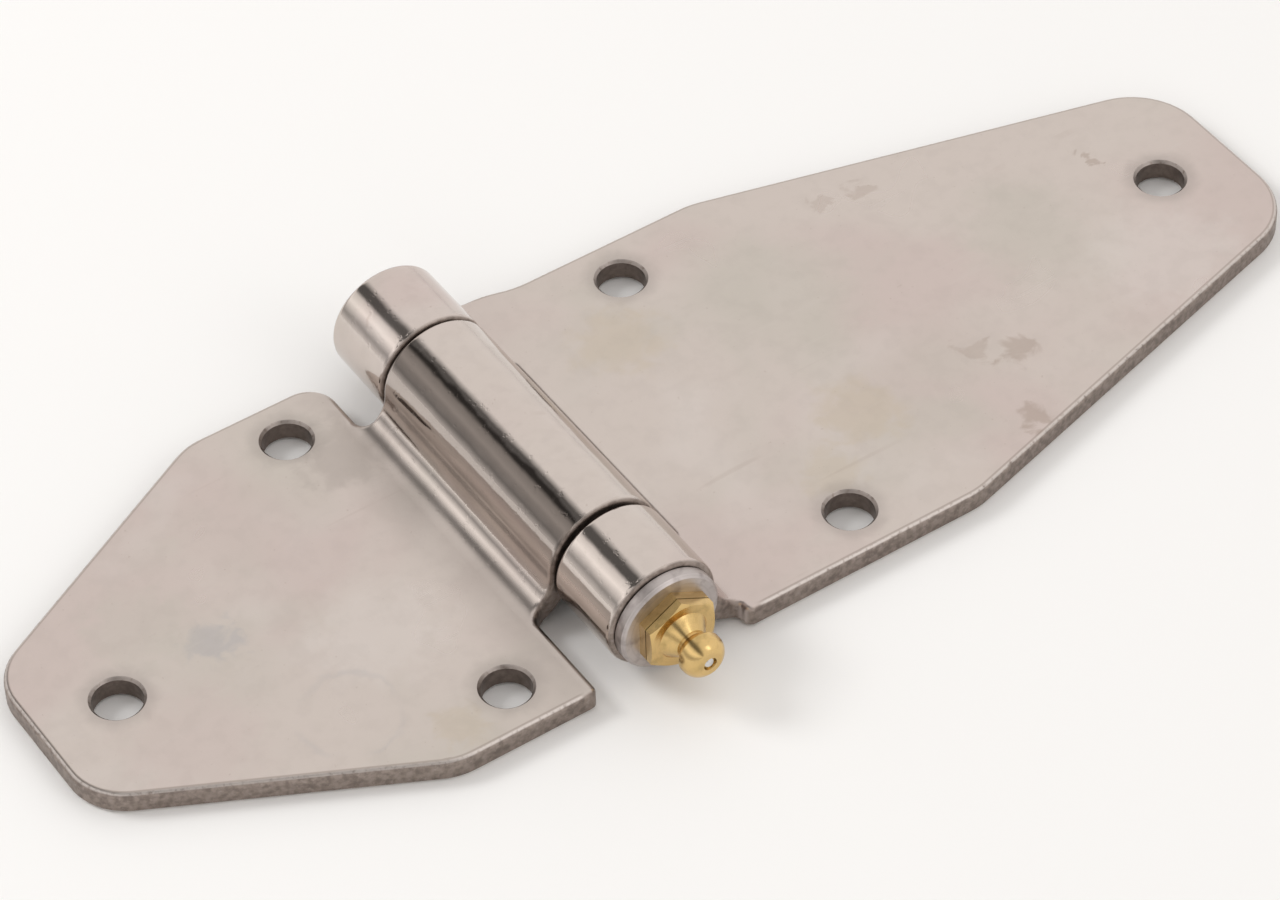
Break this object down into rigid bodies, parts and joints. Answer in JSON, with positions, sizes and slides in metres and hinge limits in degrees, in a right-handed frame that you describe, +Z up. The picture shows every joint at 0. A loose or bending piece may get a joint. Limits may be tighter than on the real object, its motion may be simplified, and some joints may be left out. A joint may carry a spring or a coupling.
{
  "type": "bolt-on strap hinge",
  "caption": "Bolt-on strap hinge with tapered stainless sheet leaves whose rolled knuckles turn on a headed pin, greased through a brass nipple in its end.",
  "frame": {"origin": "on the bolted-down face, straight below the hinge pin and half way across the leaves", "axes": "+X along the strap towards the long leaf's tip, +Y along the pin away from the grease nipple, +Z up from the bolted-down face"},
  "size_m": [0.1969, 0.0824, 0.0171],
  "materials": {
    "stainless_sheet": "tumbled and lightly polished stainless sheet, warm grey, stained, with dark worn edges",
    "turned_steel": "fine turned satin",
    "nipple_brass": "bright turned brass",
    "ball_steel": "ground hard steel ball",
    "spring_wire": "drawn spring wire"
  },
  "bodies": {
    "long_side": {"long_leaf": "stainless_sheet", "hinge_pin": "turned_steel", "end_disc": "turned_steel", "grease_nipple": "nipple_brass", "nipple_spring": "spring_wire"},
    "short_side": {"short_leaf": "stainless_sheet"},
    "nipple_ball": {"check_ball": "ball_steel"}
  },
  "joints": [
    {"name": "leaf_fold", "type": "hinge", "parent": "long_side", "child": "short_side", "pos_m": [0, 0, 0.00855], "axis": [0, 1, 0], "range_deg": [-105, 185]},
    {"name": "ball_push", "type": "slide", "parent": "long_side", "child": "nipple_ball", "axis": [0, 1, 0], "range_m": [0, 0.0006], "stiffness_N_per_m": 300, "springref_m": -0.0025, "deforming": ["nipple_spring"]}
  ]
}
